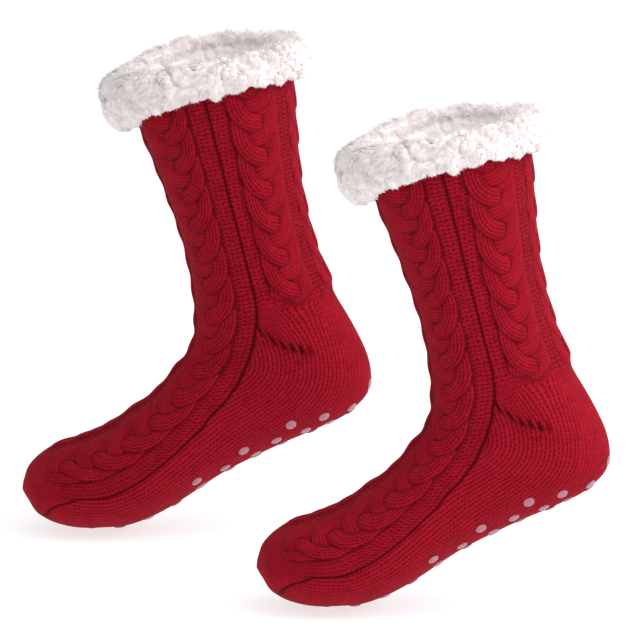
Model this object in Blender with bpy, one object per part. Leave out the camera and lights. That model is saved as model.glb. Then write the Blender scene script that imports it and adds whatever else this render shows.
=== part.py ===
"""Two knitted slipper socks with a fleece lining turned down as a cuff, standing on their toes with the heels up.

Frame: X runs from toe (-X) to heel (+X), +Z is up. The origin is the middle of the left sock's mouth.
Sizes are in millimetres; MM turns them into metres.
"""

import functools
import math

import bpy
from mathutils import Vector

for thing in list(bpy.data.objects):
    bpy.data.objects.remove(thing, do_unlink=True)

MM = 0.001

# The right sock stands behind the left one and a step towards the toes.
RIGHT_SOCK_AT = (-163.0, 250.0, 0.0)

KNIT_WALL = 3.0  # knitted cloth between the cables
FLEECE = 6.0  # lining, pile and backing
SEAM_GAP = 0.4  # left between knit and lining

# One row for each section across the sock, from the top edge of the knit to the toe.
# front and back are the ends of the section in the plane of symmetry, half is half the
# width across, low moves the widest place towards the sole, and side is the angle at which
# the ridge down the side of the sock crosses the section.
SECTIONS = (
    # front_x, front_z, back_x, back_z, half, low, side
    (-58.0, -22.5, 54.5, 4.0, 51.0, 0.0, 86),
    (-50.0, -45.0, 58.0, -20.0, 49.5, 0.0, 86),
    (-41.5, -67.0, 59.5, -42.5, 46.5, 0.0, 86),
    (-33.0, -88.0, 61.0, -65.0, 43.5, 0.0, 86),
    (-25.5, -108.5, 63.0, -87.5, 41.5, 0.0, 86),
    (-19.0, -127.0, 66.0, -106.5, 40.5, 0.0, 86),
    (-13.5, -147.0, 71.0, -128.5, 40.0, 0.0, 86),
    (-10.0, -166.5, 77.5, -148.0, 40.0, 0.0, 86),
    (-8.5, -178.0, 83.5, -161.5, 40.0, 0.0, 85),
    (-8.0, -186.5, 90.5, -175.5, 40.0, 0.0, 82),
    (-8.0, -193.0, 98.5, -189.0, 40.0, 0.0, 77),
    (-8.0, -198.5, 106.0, -203.0, 40.5, 0.0, 73),
    (-8.5, -203.0, 112.0, -217.0, 41.0, 0.01, 69),
    (-9.5, -206.5, 114.5, -231.0, 41.0, 0.02, 67),
    (-10.5, -209.5, 112.0, -243.5, 41.0, 0.03, 66),
    (-12.0, -212.5, 104.5, -252.5, 41.0, 0.04, 67),
    (-13.5, -215.5, 95.0, -260.0, 41.0, 0.05, 69),
    (-15.5, -218.5, 83.5, -265.5, 41.0, 0.06, 71),
    (-18.5, -222.0, 71.0, -271.2, 41.5, 0.07, 74),
    (-22.0, -226.0, 57.5, -276.8, 42.0, 0.08, 77),
    (-26.0, -231.0, 43.5, -283.2, 42.5, 0.09, 79),
    (-31.0, -238.0, 29.0, -290.3, 43.5, 0.1, 83),
    (-38.0, -244.5, 14.5, -297.8, 45.0, 0.11, 86),
    (-46.5, -251.0, 1.0, -306.3, 47.0, 0.12, 89),
    (-55.5, -257.0, -12.0, -315.3, 48.5, 0.12, 91),
    (-64.5, -264.0, -25.5, -323.8, 50.0, 0.12, 91),
    (-74.0, -269.0, -40.0, -331.2, 50.5, 0.12, 90),
    (-84.0, -273.5, -55.5, -336.5, 50.0, 0.12, 89),
    (-94.0, -277.0, -71.0, -338.0, 48.5, 0.11, 88),
    (-103.0, -280.0, -86.0, -338.5, 45.5, 0.1, 87),
    (-111.0, -284.0, -98.5, -337.0, 41.0, 0.08, 86),
    (-118.5, -289.5, -110.0, -333.5, 33.5, 0.06, 86),
    (-124.5, -296.5, -119.0, -328.0, 24.0, 0.04, 86),
    (-127.5, -305.0, -125.5, -318.5, 11.5, 0.0, 86),
)
TOE_TIP = (-128.0, -312.0)

# Bands of knitting round half the sock, counted as angles from the front centre line.
FRONT_RIB = 5.0
FRONT_CABLE = (17.0, 69.0)
SIDE_LINE = 86.0
BACK_CABLE = (99.0, 143.0)
BACK_STRIP = 157.0
CABLE_HIGH = 3.0
RIB_HIGH = 0.9
SOLE_HIGH = 0.8  # the sole and heel are plain stitches, which stand higher than the purl ground
# Each crossing of a cable ends in a rounded tip. These are the distances from the top edge.
FRONT_TIP, FRONT_PITCH = 45.0, 22.2
BACK_TIP, BACK_PITCH, BACK_TIPS = 49.0, 24.7, 6
TIP_SLANT = 0.85  # share of a crossing by which its edge runs down from the cable's side to its middle

LEG_COLUMNS = (0, 5, 11, 17, 24, 33, 43, 53, 63, 69, 78, 86, 92, 99, 107, 116, 126, 136, 143, 150, 157, 168, 180)
FOOT_COLUMNS = (0, 5, 11, 17, 24, 33, 43, 53, 63, 69, 78, 86, 92, 107, 126, 143, 157, 180)
RINGS_A_CROSSING = (0.11, 0.19, 0.61, 0.69)  # in pairs, so that each crossing ends in a step
FOOT_FROM = 8  # crossing of the front cable from which the back has the foot's columns
HEEL_TO = 9

INNER_ROWS = (0, 2.5, 5, 7.2, 9, 10.5, 11.7, 12.7, 13.7, 14.7, 15.8, 17, 18.5, 20.5, 23, 25.5, 28, 30, 31.5, 32.6)
INNER_COLUMNS = 20
CUFF_COLUMNS = 40


def smooth(low, high, x):
    t = min(max((x - low) / (high - low), 0.0), 1.0)
    return t * t * (3 - 2 * t)


def between_rows(values, t):
    """A smooth curve through the rows of the table."""
    last = len(values) - 1
    i = min(int(t), last - 1)
    f = t - i
    b, c = values[i], values[i + 1]
    a = values[i - 1] if i > 0 else 2 * b - c
    d = values[i + 2] if i + 2 <= last else 2 * c - b
    return 0.5 * (2 * b + (c - a) * f + (2 * a - 5 * b + 4 * c - d) * f * f + (3 * b - a - 3 * c + d) * f**3)


TABLE = tuple(zip(*SECTIONS))
LAST_ROW = len(SECTIONS) - 1


@functools.lru_cache(None)
def section(t):
    return tuple(between_rows(column, t) for column in TABLE)


def base_point(t, angle):
    """A point on the smooth outside: t counts rows of the table, angle is in degrees from the front by way of the near side."""
    front_x, front_z, back_x, back_z, half, low, side = section(t)
    a = abs((angle + 180) % 360 - 180)
    turn = a * side / SIDE_LINE if a < SIDE_LINE else side + (a - SIDE_LINE) * (180 - side) / (180 - SIDE_LINE)
    c = math.cos(math.radians(turn))
    s = math.copysign(math.sin(math.radians(turn)), (angle + 180) % 360 - 180)
    share = 0.5 + 0.5 * c
    return Vector((
        back_x + (front_x - back_x) * share,
        -half * s * (1 - low * c),
        back_z + (front_z - back_z) * share,
    ))


def frame_at(t, angle):
    """The point, the way out of the cloth, and the way up along it."""
    step = 0.02
    here = base_point(t, angle)
    lower, upper = base_point(min(t + step, LAST_ROW), angle), base_point(max(t - step, 0.0), angle)
    round_it = base_point(t, angle + 1.0) - base_point(t, angle - 1.0)
    up = (upper - lower).normalized()
    out = round_it.cross(up).normalized()
    return here, out, up


@functools.lru_cache(None)
def along(angle, rows=LAST_ROW, steps=8):
    """Distance along the cloth from the top edge to each eighth of a row, at one angle."""
    lengths, before = [0.0], base_point(0.0, angle)
    for i in range(1, rows * steps + 1):
        now = base_point(i / steps, angle)
        lengths.append(lengths[-1] + (now - before).length)
        before = now
    return lengths


def row_at(lengths, distance, steps=8):
    for i in range(1, len(lengths)):
        if lengths[i] >= distance:
            f = (distance - lengths[i - 1]) / (lengths[i] - lengths[i - 1])
            return (i - 1 + f) / steps
    return (len(lengths) - 1) / steps


CABLE_LENGTHS, BACK_LENGTHS = along(43.0), along(121.0)


def length_at(lengths, t, steps=8):
    i = min(int(t * steps), len(lengths) - 2)
    return lengths[i] + (lengths[i + 1] - lengths[i]) * (t * steps - i)


def across_cable(a, cable):
    """-1 on the side of the cable away from the side line, +1 next to it; a is from 0 to 180."""
    u = (a - sum(cable) / 2) / (0.5 * (cable[1] - cable[0]))
    return u if cable[1] < SIDE_LINE else -u


def plait(u, v):
    """Height of a three-strand cable from 0 to 1. v counts crossings, each ending in a tip at a whole number."""
    best = 0.0
    for side, shift, high in ((1.0, 0.0, 1.0), (-1.0, 0.5, 0.8)):
        start = v - shift + 0.85 - TIP_SLANT * (1 - abs(u)) - 1.0
        share = start - math.floor(start)  # 0 just under one tip and 1 just before the next
        if side * u > -0.2:
            middle = side * (0.62 - 0.5 * smooth(0.2, 1.0, share))
            away = min(abs(u - middle) / 0.52, 1.0)
            best = max(best, high * (0.35 + 0.65 * smooth(0.0, 0.55, share)) * (1 - 0.6 * away**2.5))
    return best if abs(u) < 0.99 else 0.0


def relief(t, angle):
    """How far the knitting stands out from the smooth sock, in millimetres."""
    a = abs((angle + 180) % 360 - 180)
    down_front, down_back = length_at(CABLE_LENGTHS, t), length_at(BACK_LENGTHS, t)
    near_toe = 1 - smooth(CABLE_LENGTHS[-1] - 40, CABLE_LENGTHS[-1] - 22, down_front)
    last_tip = BACK_TIP + BACK_PITCH * (BACK_TIPS - 1)
    if a <= FRONT_RIB:
        return RIB_HIGH * near_toe
    if FRONT_CABLE[0] < a < FRONT_CABLE[1]:
        return CABLE_HIGH * near_toe * plait(across_cable(a, FRONT_CABLE), (down_front - FRONT_TIP) / FRONT_PITCH)
    if abs(a - SIDE_LINE) < 1:
        return RIB_HIGH
    on_heel = SOLE_HIGH * smooth(last_tip + 4, last_tip + 10, down_back)
    if BACK_CABLE[0] < a < BACK_CABLE[1]:
        slant = last_tip - (TIP_SLANT * BACK_PITCH) * abs(across_cable(a, BACK_CABLE))
        if down_back < slant + 1:
            return CABLE_HIGH * plait(across_cable(a, BACK_CABLE), (down_back - BACK_TIP) / BACK_PITCH)
        return SOLE_HIGH
    if a >= BACK_STRIP:
        wave = math.cos(math.tau * (down_back - BACK_TIP) / BACK_PITCH)
        strip = 1.6 + 0.9 * wave * (1 - ((180 - a) / 24) ** 2)
        return strip * (1 - smooth(last_tip - 4, last_tip + 10, down_back)) + on_heel
    return on_heel if a > SIDE_LINE else 0.0


def slanted(a, cable, pitch):
    """How far a ring of points runs down inside a cable, so that it follows the crossings."""
    return max(TIP_SLANT * (1 - abs(across_cable(a, cable))), 0.0) * pitch


def ring_rows():
    """The rings of the outside, each as (front distance, back distance, crossing)."""
    front_end, back_end = CABLE_LENGTHS[-1], BACK_LENGTHS[-1]
    crossings = [n + share for n in range(-2, 16) for share in RINGS_A_CROSSING]
    crossings = [v for v in crossings if 3 < FRONT_TIP + FRONT_PITCH * (v - 1) < front_end - 3]
    heel_starts = BACK_TIPS + 0.3
    heel = [v for v in crossings if heel_starts < v <= HEEL_TO + 1]
    foot = [v for v in crossings if v > HEEL_TO + 1]
    back_heel = BACK_TIP + BACK_PITCH * (heel_starts - 1)
    row = row_at(CABLE_LENGTHS, FRONT_TIP + FRONT_PITCH * HEEL_TO)
    back_foot = length_at(BACK_LENGTHS, row)
    rows = []
    for v in crossings:
        front = FRONT_TIP + FRONT_PITCH * (v - 1)
        if v in heel:
            back = back_heel + (back_foot - back_heel) * (heel.index(v) + 1) / len(heel)
        elif v in foot:
            back = back_foot + (back_end - 3 - back_foot) * (foot.index(v) + 1) / len(foot)
        else:
            back = BACK_TIP + BACK_PITCH * (v - 1)
        rows.append((front, max(back, 2.0), v))
    return rows


def knit_ring(front, back, crossing, columns):
    """One ring of the outside of the knit."""
    points = []
    fade = smooth(0, 35, front) * (1 - smooth(CABLE_LENGTHS[-1] - 60, CABLE_LENGTHS[-1] - 10, front))
    for angle in columns:
        a = abs((angle + 180) % 360 - 180)
        front_row = row_at(CABLE_LENGTHS, front + fade * slanted(a, FRONT_CABLE, FRONT_PITCH))
        back_slant = slanted(a, BACK_CABLE, BACK_PITCH) if crossing < BACK_TIPS + 0.3 else 0.0
        back_row = row_at(BACK_LENGTHS, back + smooth(0, 35, back) * back_slant)
        share = min(max((a - FRONT_CABLE[1]) / (BACK_CABLE[0] - FRONT_CABLE[1]), 0), 1)
        t = front_row + (back_row - front_row) * share
        here, out, _ = frame_at(t, angle)
        points.append(here + out * relief(t, angle))
    return points


def ring(t, columns, out_by):
    """Points round the sock at row t, moved out of the cloth by out_by(t, angle)."""
    points = []
    for angle in columns:
        here, out, _ = frame_at(t, angle)
        points.append(here + out * out_by(t, angle))
    return points


def join_rings(faces, first, second):
    """Triangles between two closed rings of (point number, angle), which may differ in number."""
    i = j = 0
    while i < len(first) or j < len(second):
        a, b = first[i % len(first)], second[j % len(second)]
        next_a = first[(i + 1) % len(first)][1] + (360 if i + 1 >= len(first) else 0)
        next_b = second[(j + 1) % len(second)][1] + (360 if j + 1 >= len(second) else 0)
        if j >= len(second) or (i < len(first) and next_a <= next_b):
            faces.append((a[0], first[(i + 1) % len(first)][0], b[0]))
            i += 1
        else:
            faces.append((a[0], second[(j + 1) % len(second)][0], b[0]))
            j += 1


def body_from_rings(name, start_tip, rings, end_tip, at):
    """One closed body from a tip, through rings of (angles, points, which way they run), to another tip."""
    points, faces, numbered, ways = [start_tip], [], [], []
    for angles, ring_points, way in rings:
        numbered.append([(len(points) + k, angles[k]) for k in range(len(angles))])
        points.extend(ring_points)
        ways.append(way)
    points.append(end_tip)
    first, last = numbered[0], numbered[-1]
    for k in range(len(first)):
        faces.append((0, first[(k + 1) % len(first)][0], first[k][0]))
    for a, b, way in zip(numbered, numbered[1:], ways[1:]):
        if len(a) == len(b):
            # Both skins of a gap have their diagonals the same way, so that they stay apart.
            for k in range(len(a)):
                m = (k + 1) % len(a)
                ends = (a[k][0], a[m][0], b[m][0], b[k][0])
                faces += [(ends[0], ends[1], ends[2]), (ends[0], ends[2], ends[3])] if way == "down" else [
                    (ends[1], ends[2], ends[3]),
                    (ends[1], ends[3], ends[0]),
                ]
        else:
            join_rings(faces, a, b)
    for k in range(len(last)):
        faces.append((len(points) - 1, last[k][0], last[(k + 1) % len(last)][0]))
    mesh = bpy.data.meshes.new(name)
    mesh.from_pydata([(p + Vector(at)) * MM for p in points], [], faces)
    mesh.update()
    body = bpy.data.objects.new(name, mesh)
    bpy.context.scene.collection.objects.link(body)
    return body


def whole_round(half):
    return list(half) + [360 - a for a in reversed(half[1:-1])]


def evenly(count):
    return [360.0 * k / count for k in range(count)]


def material(name, colour, roughness):
    made = bpy.data.materials.new(name)
    made.use_nodes = True
    shader = made.node_tree.nodes["Principled BSDF"]
    shader.inputs["Base Color"].default_value = (*colour, 1)
    shader.inputs["Roughness"].default_value = roughness
    return made


def tip_point(inwards):
    return Vector((TOE_TIP[0] + inwards, 0.0, TOE_TIP[1]))


def knit_body(name, at):
    """The knitted sock: cables and ribs outside, plain inside, open at the top."""
    leg, foot, inner = whole_round(LEG_COLUMNS), whole_round(FOOT_COLUMNS), evenly(INNER_COLUMNS)
    rings = []
    for front, back, crossing in reversed(ring_rows()):
        columns = foot if crossing > FOOT_FROM else leg
        rings.append((columns, knit_ring(front, back, crossing, columns), "up"))
    rings.append((leg, ring(0.0, leg, lambda *_: 0.0), "up"))
    rings += [(inner, ring(t, inner, lambda *_: -KNIT_WALL), "down") for t in INNER_ROWS]
    return body_from_rings(name, tip_point(0.0), rings, tip_point(KNIT_WALL), at)


# The cuff's cross-section where it turns over the top edge, from the lining's inside to its outside.
# up is above the knit's top edge and out is from the smooth sock.
CREST = (
    # up, out
    (4.5, -9.0),
    (8.5, -4.5),
    (9.5, 2.0),
    (7.5, 9.0),
    (2.0, 14.0),
)
# Hanging part: share of the way down, out as a share of the fullness there.
HANG = (
    # down, out
    (0.25, 0.97),
    (0.6, 1.0),
    (0.9, 0.82),
    (1.0, 0.5),
)
FULL_FRONT, FULL_SIDE, FULL_BACK = 20.0, 17.0, 17.5
CREST_FRONT, CREST_SIDE, CREST_BACK = 1.0, 0.62, 0.55
DOWN_FRONT, DOWN_SIDE, DOWN_BACK = 28.0, 18.0, 23.0
BAND_INSIDE = CABLE_HIGH + 0.6


def round_value(angle, front, side, back):
    c = math.cos(math.radians(angle))
    return side + (front - side) * max(c, 0) ** 2 + (back - side) * max(-c, 0) ** 2


def cuff_point(angle, up, out):
    """A point up from the knit's top edge, or down along the sock below it, and out from the cloth."""
    if up >= 0:
        here, way_out, way_up = frame_at(0.0, angle)
        return here + way_up * up + way_out * out
    here, way_out, _ = frame_at(row_at(along(angle, 3), -up), angle)
    return here + way_out * out


def tuft(angle, high):
    """The cuff's fleece lies in uneven bunches: how far one stands out, in millimetres."""
    turn = math.radians(angle)
    return 0.9 * math.sin(9 * turn + 1.3 * high) + 0.7 * math.sin(14 * turn - 2.1 * high + 1.0)


def lining_body(name, at):
    """The fleece lining, from the toe up inside the knit, over its top edge and down outside as the cuff."""
    hidden, cuff = evenly(INNER_COLUMNS), evenly(CUFF_COLUMNS)
    outside = KNIT_WALL + SEAM_GAP
    inside = outside + FLEECE
    rings = [(hidden, ring(t, hidden, lambda *_: -outside), "up") for t in reversed(INNER_ROWS)]

    def add(columns, up_and_out, bunch=0.0):
        points = []
        for a in columns:
            up, out = up_and_out(a)
            points.append(cuff_point(a, up, out + bunch * tuft(a, len(rings))))
        rings.append((columns, points, "up"))

    def down(a):
        return round_value(a, DOWN_FRONT, DOWN_SIDE, DOWN_BACK)

    def full(a):
        return round_value(a, FULL_FRONT, FULL_SIDE, FULL_BACK)

    def crest(a):
        return round_value(a, CREST_FRONT, CREST_SIDE, CREST_BACK)

    add(hidden, lambda a: (SEAM_GAP + 0.6, -KNIT_WALL))
    add(cuff, lambda a: (SEAM_GAP + 0.6, BAND_INSIDE))
    add(cuff, lambda a: (-0.5 * down(a), BAND_INSIDE))
    add(cuff, lambda a: (-0.94 * down(a), BAND_INSIDE))
    for share, fullness in reversed(HANG):
        add(cuff, lambda a: (-share * down(a), full(a) * fullness), 1.0 if share < 1 else 0.0)
    for up, out in reversed(CREST):
        add(cuff, lambda a: (up * crest(a), out * (full(a) / FULL_SIDE if out > 0 else 1.0)), 0.8 if out > 0 else 0.0)
    rings += [(hidden, ring(t, hidden, lambda *_: -inside), "down") for t in INNER_ROWS]
    return body_from_rings(name, tip_point(outside), rings, tip_point(inside), at)


RED_KNIT = material("red knit", (0.38, 0.009, 0.025), 0.85)
WHITE_FLEECE = material("white fleece", (0.86, 0.82, 0.81), 0.95)

for side, at in (("left", (0.0, 0.0, 0.0)), ("right", RIGHT_SOCK_AT)):
    knit_body(side + "_knit_sock", at).data.materials.append(RED_KNIT)
    lining_body(side + "_fleece_lining_and_cuff", at).data.materials.append(WHITE_FLEECE)
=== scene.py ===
# %% [markdown]
# # A pair of cable-knit slipper socks
# These are thick slipper socks: a red cable-knit outside, a white fleece lining sewn inside, and the lining turned
# down over the top edge as a cuff. Small rubber dots under the sole and heel stop them slipping.
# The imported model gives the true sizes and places. Here each sock gets its stitches, its pile and its dots.

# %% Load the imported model
import functools
import math

import bpy
import numpy as np
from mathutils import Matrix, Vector


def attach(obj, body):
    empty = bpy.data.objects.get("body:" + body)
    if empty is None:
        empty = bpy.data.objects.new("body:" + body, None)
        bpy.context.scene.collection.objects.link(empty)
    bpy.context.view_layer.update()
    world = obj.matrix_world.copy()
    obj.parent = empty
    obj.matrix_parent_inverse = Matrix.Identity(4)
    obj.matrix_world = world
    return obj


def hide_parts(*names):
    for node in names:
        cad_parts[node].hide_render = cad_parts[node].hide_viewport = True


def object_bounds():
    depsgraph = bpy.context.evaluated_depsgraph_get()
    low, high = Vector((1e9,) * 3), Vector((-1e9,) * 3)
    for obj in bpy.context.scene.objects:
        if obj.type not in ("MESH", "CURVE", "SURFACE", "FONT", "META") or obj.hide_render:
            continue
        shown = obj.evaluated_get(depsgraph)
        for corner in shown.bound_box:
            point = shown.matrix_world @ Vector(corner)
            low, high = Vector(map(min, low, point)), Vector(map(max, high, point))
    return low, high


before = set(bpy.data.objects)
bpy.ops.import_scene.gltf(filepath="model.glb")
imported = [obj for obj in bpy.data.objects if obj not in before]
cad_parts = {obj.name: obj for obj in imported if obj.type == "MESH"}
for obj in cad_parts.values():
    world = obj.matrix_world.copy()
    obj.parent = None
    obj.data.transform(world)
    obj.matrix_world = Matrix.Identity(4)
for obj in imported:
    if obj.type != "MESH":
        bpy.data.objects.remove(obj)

CAD_LOW, CAD_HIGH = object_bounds()
MM = 0.001
print("packed nodes:", sorted(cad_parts))

# %% [markdown]
# ## The shape of one sock
# A knitted sock is a tube that bends at the heel. It is drawn here as a row of sections across the tube, from the top
# edge of the knit to the toe, with a smooth curve run through them. Each section has its front and back point, half
# its width, how much narrower it is at the front, and the angle at which the ridge down the side crosses it. The
# right sock is the same tube at another place.

# %% Sections of the sock, in millimetres
SOCKS = (("left", np.zeros(3)), ("right", np.array((-163.0, 250.0, 0.0))))
SECTIONS = np.array((
    # front_x, front_z, back_x, back_z, half, low, side
    (-58.0, -22.5, 54.5, 4.0, 51.0, 0.0, 86),
    (-50.0, -45.0, 58.0, -20.0, 49.5, 0.0, 86),
    (-41.5, -67.0, 59.5, -42.5, 46.5, 0.0, 86),
    (-33.0, -88.0, 61.0, -65.0, 43.5, 0.0, 86),
    (-25.5, -108.5, 63.0, -87.5, 41.5, 0.0, 86),
    (-19.0, -127.0, 66.0, -106.5, 40.5, 0.0, 86),
    (-13.5, -147.0, 71.0, -128.5, 40.0, 0.0, 86),
    (-10.0, -166.5, 77.5, -148.0, 40.0, 0.0, 86),
    (-8.5, -178.0, 83.5, -161.5, 40.0, 0.0, 85),
    (-8.0, -186.5, 90.5, -175.5, 40.0, 0.0, 82),
    (-8.0, -193.0, 98.5, -189.0, 40.0, 0.0, 77),
    (-8.0, -198.5, 106.0, -203.0, 40.5, 0.0, 73),
    (-8.5, -203.0, 112.0, -217.0, 41.0, 0.01, 69),
    (-9.5, -206.5, 114.5, -231.0, 41.0, 0.02, 67),
    (-10.5, -209.5, 112.0, -243.5, 41.0, 0.03, 66),
    (-12.0, -212.5, 104.5, -252.5, 41.0, 0.04, 67),
    (-13.5, -215.5, 95.0, -260.0, 41.0, 0.05, 69),
    (-15.5, -218.5, 83.5, -265.5, 41.0, 0.06, 71),
    (-18.5, -222.0, 71.0, -271.2, 41.5, 0.07, 74),
    (-22.0, -226.0, 57.5, -276.8, 42.0, 0.08, 77),
    (-26.0, -231.0, 43.5, -283.2, 42.5, 0.09, 79),
    (-31.0, -238.0, 29.0, -290.3, 43.5, 0.1, 83),
    (-38.0, -244.5, 14.5, -297.8, 45.0, 0.11, 86),
    (-46.5, -251.0, 1.0, -306.3, 47.0, 0.12, 89),
    (-55.5, -257.0, -12.0, -315.3, 48.5, 0.12, 91),
    (-64.5, -264.0, -25.5, -323.8, 50.0, 0.12, 92),
    (-74.0, -269.0, -40.0, -331.2, 50.5, 0.12, 93),
    (-84.0, -273.5, -55.5, -336.5, 50.0, 0.12, 94),
    (-94.0, -277.0, -71.0, -338.0, 48.5, 0.11, 93),
    (-103.0, -280.0, -86.0, -338.5, 45.5, 0.1, 90),
    (-111.0, -284.0, -98.5, -337.0, 41.0, 0.08, 86),
    (-118.5, -289.5, -110.0, -333.5, 33.5, 0.06, 86),
    (-124.5, -296.5, -119.0, -328.0, 24.0, 0.04, 86),
    (-127.5, -305.0, -125.5, -318.5, 11.5, 0.0, 86),
))
TOE_TIP = np.array((-128.0, 0.0, -312.0))
LAST_ROW = len(SECTIONS) - 1
ALL_ROWS = np.linspace(0, LAST_ROW, LAST_ROW * 12 + 1)
# Places round the sock are in degrees from the front.
SIDE_LINE = 86.0  # the ridge down each side
FRONT_LINE, BACK_LINE = 43.0, 121.0  # the middle of the front plait and of the back one, on each side


def rise(low, high, x):
    """0 below low, 1 above high, and an easy curve between."""
    s = np.clip((np.asarray(x, float) - low) / (high - low), 0, 1)
    return s * s * (3 - 2 * s)


def unit(v):
    return v / np.maximum(np.linalg.norm(v, axis=-1, keepdims=True), 1e-9)


def through(rows, place):
    """The values at each place on a smooth run through rows of values. A place may lie between two rows."""
    i = np.clip(place.astype(int), 0, len(rows) - 2)
    f = (place - i)[..., None]
    rows = np.vstack([2 * rows[0] - rows[1], rows, 2 * rows[-1] - rows[-2]])
    a, b, c, d = rows[i], rows[i + 1], rows[i + 2], rows[i + 3]
    return 0.5 * (2 * b + (c - a) * f + (2 * a - 5 * b + 4 * c - d) * f**2 + (3 * b - a - 3 * c + d) * f**3)


def dense(curve, count):
    """More points along a curve, on a smooth run through the given ones."""
    return through(curve, np.linspace(0, len(curve) - 1, count))


def run_along(points):
    """Distance along a line of points from its first one to each of them, or along each column of a grid."""
    steps = np.linalg.norm(np.diff(points, axis=0), axis=-1)
    return np.concatenate([np.zeros((1, *steps.shape[1:])), np.cumsum(steps, axis=0)])


def from_front(angle):
    """Degrees from the front, the same on both sides of the sock."""
    return np.abs((angle + 180) % 360 - 180)


def cloth_point(t, angle):
    """A point on the smooth outside of the knit. The angle is in degrees from the front, by way of the near side."""
    front_x, front_z, back_x, back_z, half, low, side = np.moveaxis(through(SECTIONS, np.asarray(t, float)), -1, 0)
    signed = (angle + 180) % 360 - 180
    a = np.abs(signed)
    turn = np.where(a < SIDE_LINE, a * side / SIDE_LINE, side + (a - SIDE_LINE) * (180 - side) / (180 - SIDE_LINE))
    c = np.cos(np.radians(turn))
    s = np.copysign(np.sin(np.radians(turn)), signed)
    share = 0.5 + 0.5 * c
    x = back_x + (front_x - back_x) * share
    z = back_z + (front_z - back_z) * share
    return np.stack([x, -half * s * (1 - low * c), z], -1)


def cloth_frame(t, angle):
    """The point on the cloth, the way out of it, and the way up along it."""
    t, angle = np.broadcast_arrays(np.asarray(t, float), np.asarray(angle, float))
    up = unit(cloth_point(np.maximum(t - 0.02, 0), angle) - cloth_point(np.minimum(t + 0.02, LAST_ROW), angle))
    across = cloth_point(t, angle + 1) - cloth_point(t, angle - 1)
    return cloth_point(t, angle), unit(np.cross(across, up)), up


def length_down(angle):
    """Distance along the cloth from the top edge to each of ALL_ROWS, at one angle."""
    return run_along(cloth_point(ALL_ROWS, np.full(ALL_ROWS.shape, float(angle))))


FRONT_RUN, BACK_RUN = length_down(FRONT_LINE), length_down(BACK_LINE)
print("length of the front plait %.0f mm, round the heel %.0f mm" % (FRONT_RUN[-1], BACK_RUN[-1]))

# %% [markdown]
# ## The plaits
# A knitted plait has strands of five stitches that cross over each other. Seen from outside, each strand is a lobe:
# it comes out from under the one above, runs down the edge of the plait, then curves to the middle and ends in a
# rounded tip. A lobe is drawn once, as a curve with a rounded section, and repeated down both sides of the plait.
# The distance from a point to that curve gives the height there, and its place along and across gives the stitches.
# The strands are pulled narrower or wider along the sock, so each plait says how wide its lobes are at every place.

# %% Height of a plait
LOBE = np.array((
    (11.6, -14.0), (12.2, -7.0), (12.4, -1.5), (12.0, 3.0), (10.8, 6.9),
    (8.8, 10.2), (6.2, 12.9), (3.6, 14.8), (1.3, 15.8),
))
UNDER = ((-1.8, 16.4), (-5.2, 16.6))  # the wider strands run on to here, under the near ones
LOBE_LINES = dense(LOBE, 60), dense(np.vstack([LOBE, UNDER]), 72)
LOBE_SIDES = ((0.0, 1.0, 6.7, 0.0), (-0.6, 0.64, 8.2, 0.8))  # shift in pitches, height, half width, evenness
LOBE_PITCH = 22.2
LOBE_LOW = 0.42  # height of a lobe where it comes out from under the one above, as a share of its full height
TIP_EVEN, TIP_LONG = 0.6, 12.0  # evenness of the stitches at a tip, and the length over which they get there
STRAND_STITCH = (2.45, 2.9)  # size of a strand's stitch across and along it


def plait(y, near_x, far_x):
    """Height from 0 to 1, stitch across, stitch along and evenness. y is down the plait. near_x and far_x are across
    it, as the lobes next to the side line and the wider ones beyond see it. The near tips end at whole pitches."""
    high, across, along, even = (np.zeros_like(y) for _ in range(4))
    for x, line, (shift, tall, half, smooth) in zip((near_x, -far_x), LOBE_LINES, LOBE_SIDES):
        way = unit(np.gradient(line, axis=0))
        run = run_along(line)
        for back in (0, 1):
            points = np.stack([x, (y - shift * LOBE_PITCH) % LOBE_PITCH - back * LOBE_PITCH], -1)
            far = np.linalg.norm(points[:, None, :] - line[None], axis=-1)
            near = far.argmin(1)
            away = far[np.arange(len(x)), near]
            gap = points - line[near]
            n = gap[:, 0] * way[near, 1] - gap[:, 1] * way[near, 0]
            q = np.clip(away / half, 0, 1)
            grown = LOBE_LOW + (1 - LOBE_LOW) * rise(-6, 9, line[near, 1])
            h = tall * grown * (1 - q**2.6) ** 0.55
            at_tip = rise(run[-1] - TIP_LONG, run[-1], run[near])
            on_top = h > high
            high = np.where(on_top, h, high)
            across = np.where(on_top, n / STRAND_STITCH[0], across)
            along = np.where(on_top, run[near] / STRAND_STITCH[1], along)
            even = np.where(on_top, smooth + max(TIP_EVEN - smooth, 0) * at_tip, even)
    return high, across, along, even


# %% [markdown]
# ## The knitted cloth
# The knit is one tube of cloth, so it is one fine grid wrapped on the sections, about a millimetre from point to
# point. The points rise over the plaits and ribs. Smaller things, the single stitches, come from the material: each
# point keeps its place in stitches across and along the knitting in a UV map, and attributes say which stitch it is.

# %% Sizes of the stitches and of the parts of the knit
WALE = 4.0  # degrees round the sock that one stitch of the leg takes
COURSE = 3.05  # millimetres down the sock that one row of stitches takes
RIB = 3.1  # millimetres from one column of plain stitches to the next on the heel and sole
FAN = 0.55  # how much of each section's growing girth at the heel is taken up by new columns at the side line
SLANT = 0.75  # millimetres that the columns above the heel's slanting line lean for each one they run up
HEEL_FROM, HEEL_TO = 8.0, 21.0  # rows of the table between which the knitting turns the heel
MITRE = ((86, 90, 95, 103, 114, 125), (9.5, 10.1, 10.6, 11.15, 11.45, 11.5))  # the heel's slanting line
MITRE_TO = MITRE[0][-1]
SIDE_END = 29.0  # row of the table where the ridge down the side ends
TOE_SEAM = ((86.0, 91.0, 99.7, 111.5, 145.0, 180.0), (28.75, 29.05, 29.97, 30.71, 31.38, 31.5))
# MITRE and TOE_SEAM are angles from the front, and the rows of the table where the line crosses them.

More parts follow.
